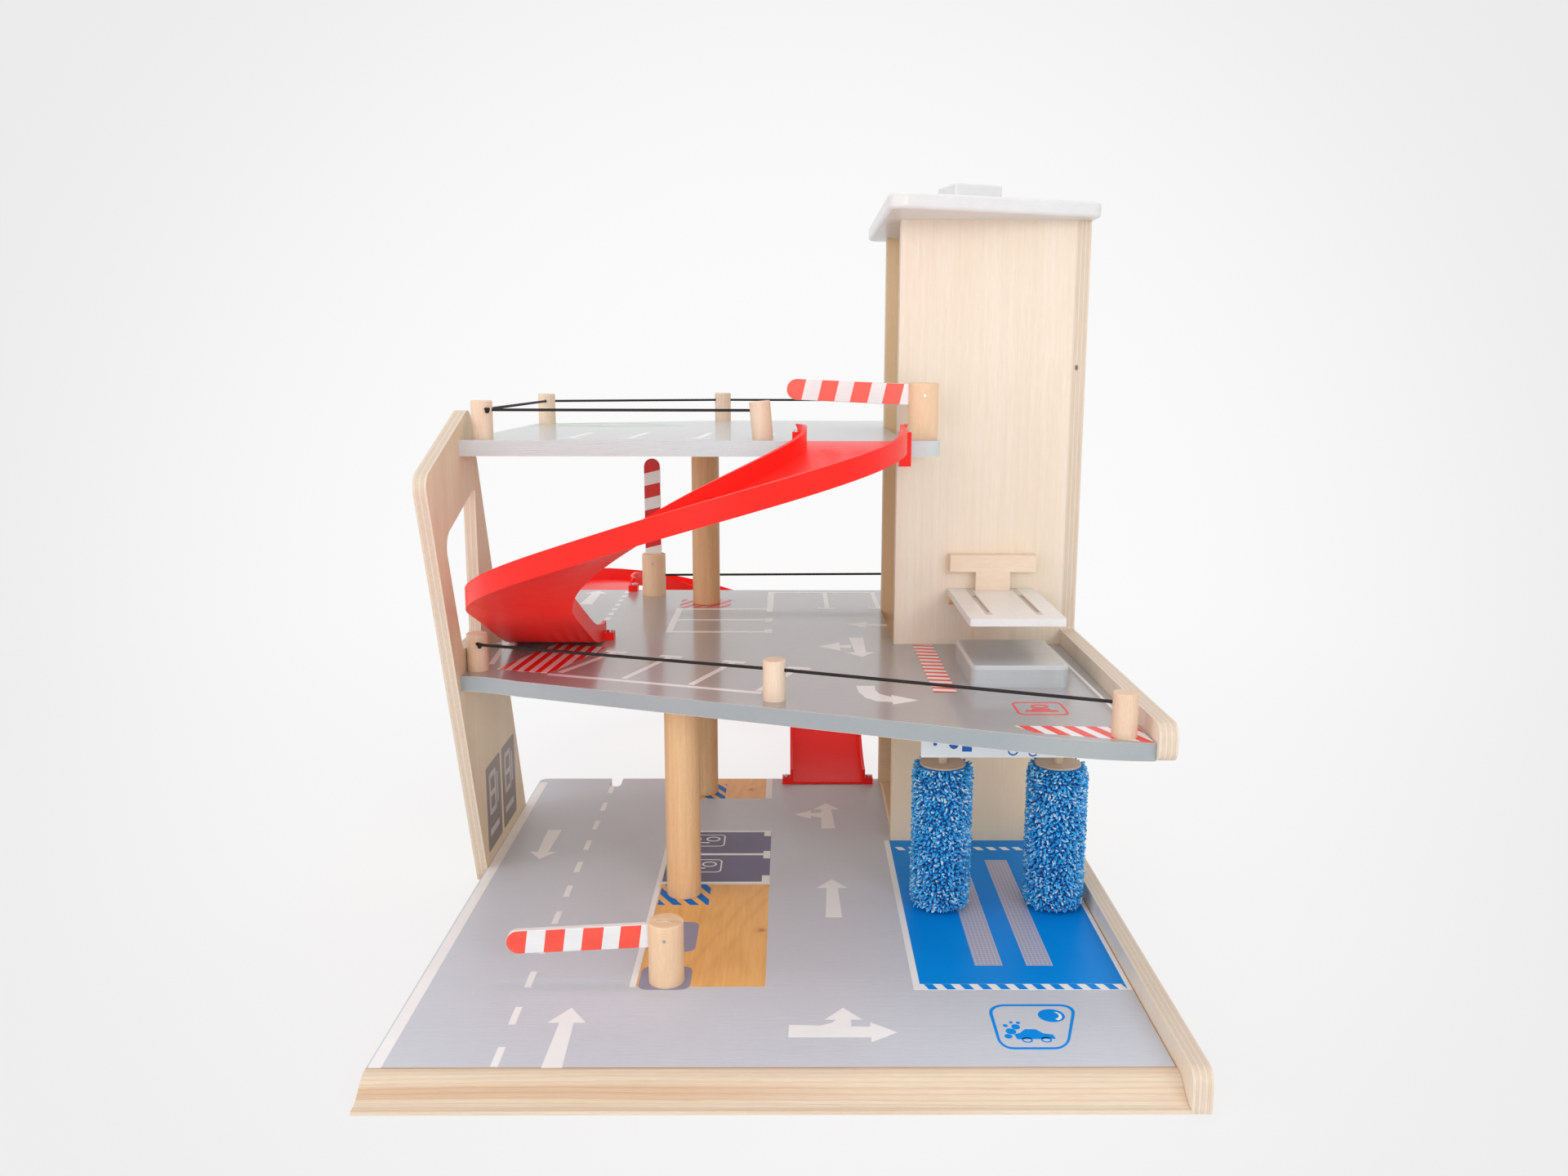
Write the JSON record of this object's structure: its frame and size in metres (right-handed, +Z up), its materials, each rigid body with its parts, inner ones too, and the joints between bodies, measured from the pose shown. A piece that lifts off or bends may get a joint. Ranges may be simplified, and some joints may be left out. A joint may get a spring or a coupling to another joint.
{
  "type": "toy parking garage",
  "caption": "Wooden toy parking garage with a lift tower, red plastic ramps, swinging barriers, a car wash with turning brushes and a sliding workshop platform.",
  "frame": {"origin": "centre of the base board's underside, on the table", "axes": "+X towards the lift tower's side, +Y away from the front edge with the drive-on strip, +Z up"},
  "size_m": [0.5265, 0.8751, 0.5968],
  "materials": {
    "birch_ply": "satin",
    "pale_beech": "satin",
    "warm_beech": "satin",
    "ground_print": "satin",
    "deck_print": "gloss",
    "pale_deck": "satin",
    "white_paint": "satin",
    "pale_grey_paint": "satin",
    "barrier_paint": "satin",
    "sign_print": "satin",
    "red_plastic": "gloss",
    "grey_gloss": "gloss",
    "steel": "satin",
    "black_cord": "matte",
    "blue_fibre": "matte"
  },
  "bodies": {
    "base": {"back_barrier_pin": "steel", "back_barrier_post": "pale_beech", "base_barrier_pin": "steel", "base_barrier_post": "pale_beech", "base_board": "ground_print", "board_screws": "steel", "cord_dowel": "pale_beech", "cord_lead": "black_cord", "front_ramp": "birch_ply", "left_side_panel": "birch_ply", "lower_back_column": "warm_beech", "lower_front_column": "warm_beech", "lower_ramp": "red_plastic", "mid_back_cord": "black_cord", "mid_back_right_peg": "pale_beech", "mid_deck": "deck_print", "mid_front_cord": "black_cord", "mid_front_left_peg": "pale_beech", "mid_front_middle_peg": "pale_beech", "mid_front_right_peg": "pale_beech", "ramp_screws": "steel", "right_side_panel": "birch_ply", "tower_back_panel": "birch_ply", "tower_front_panel": "birch_ply", "tower_roof": "white_paint", "upper_back_left_peg": "pale_beech", "upper_back_middle_peg": "pale_beech", "upper_back_right_peg": "pale_beech", "upper_barrier_pin": "steel", "upper_barrier_post": "pale_beech", "upper_column": "warm_beech", "upper_cord": "black_cord", "upper_deck": "pale_deck", "upper_front_left_peg": "pale_beech", "upper_front_middle_peg": "pale_beech", "upper_ramp": "red_plastic", "wash_sign": "sign_print", "workshop_block": "grey_gloss", "workshop_guide": "birch_ply"},
    "base_barrier": {"base_barrier_arm": "barrier_paint"},
    "upper_barrier": {"upper_barrier_arm": "barrier_paint"},
    "back_barrier": {"back_barrier_arm": "barrier_paint"},
    "left_brush": {"left_brush_axle": "pale_beech", "left_brush_core": "warm_beech", "left_brush_cover": "blue_fibre"},
    "right_brush": {"right_brush_axle": "pale_beech", "right_brush_core": "warm_beech", "right_brush_cover": "blue_fibre"},
    "lift_car": {"lift_floor": "birch_ply", "lift_front_wall": "birch_ply", "lift_back_wall": "birch_ply", "lift_bar": "pale_beech", "lift_cord": "black_cord"},
    "winch": {"winch_knob": "pale_grey_paint", "winch_spindle": "pale_beech", "winch_spool": "pale_beech"},
    "platform": {"workshop_platform": "white_paint", "platform_bar": "steel"}
  },
  "joints": [
    {"name": "base_barrier_swing", "type": "hinge", "parent": "base", "child": "base_barrier", "pos_m": [-0.076, -0.15984, 0.0475], "axis": [0, 1, 0], "range_deg": [0, 93]},
    {"name": "upper_barrier_swing", "type": "hinge", "parent": "base", "child": "upper_barrier", "pos_m": [0.119, 0.05049, 0.4155], "axis": [0, 1, 0], "range_deg": [-5.5, 87.5]},
    {"name": "back_barrier_swing", "type": "hinge", "parent": "base", "child": "back_barrier", "pos_m": [-0.1355, 0.33912, 0.2315], "axis": [0, 1, 0], "range_deg": [-93, 0]},
    {"name": "left_brush_spin", "type": "hinge", "parent": "base", "child": "left_brush", "pos_m": [0.131, -0.03618, 0.0125], "axis": [0, 0, 1], "continuous": true},
    {"name": "right_brush_spin", "type": "hinge", "parent": "base", "child": "right_brush", "pos_m": [0.222, -0.03618, 0.0125], "axis": [0, 0, 1], "continuous": true},
    {"name": "lift_slide", "type": "slide", "parent": "base", "child": "lift_car", "axis": [0, 0, 1], "range_m": [0, 0.368], "deforming": ["lift_cord"]},
    {"name": "winch_turn", "type": "hinge", "parent": "base", "child": "winch", "pos_m": [0.171, 0.17982, 0.5718], "axis": [0, 0, 1], "range_deg": [0, 2619.2]},
    {"name": "platform_slide", "type": "slide", "parent": "base", "child": "platform", "axis": [0, 0, 1], "range_m": [-0.021, 0.0155]}
  ],
  "couplings": [
    {"joint": "winch_turn", "follows": "lift_slide", "rad_per_m": 124.22}
  ]
}
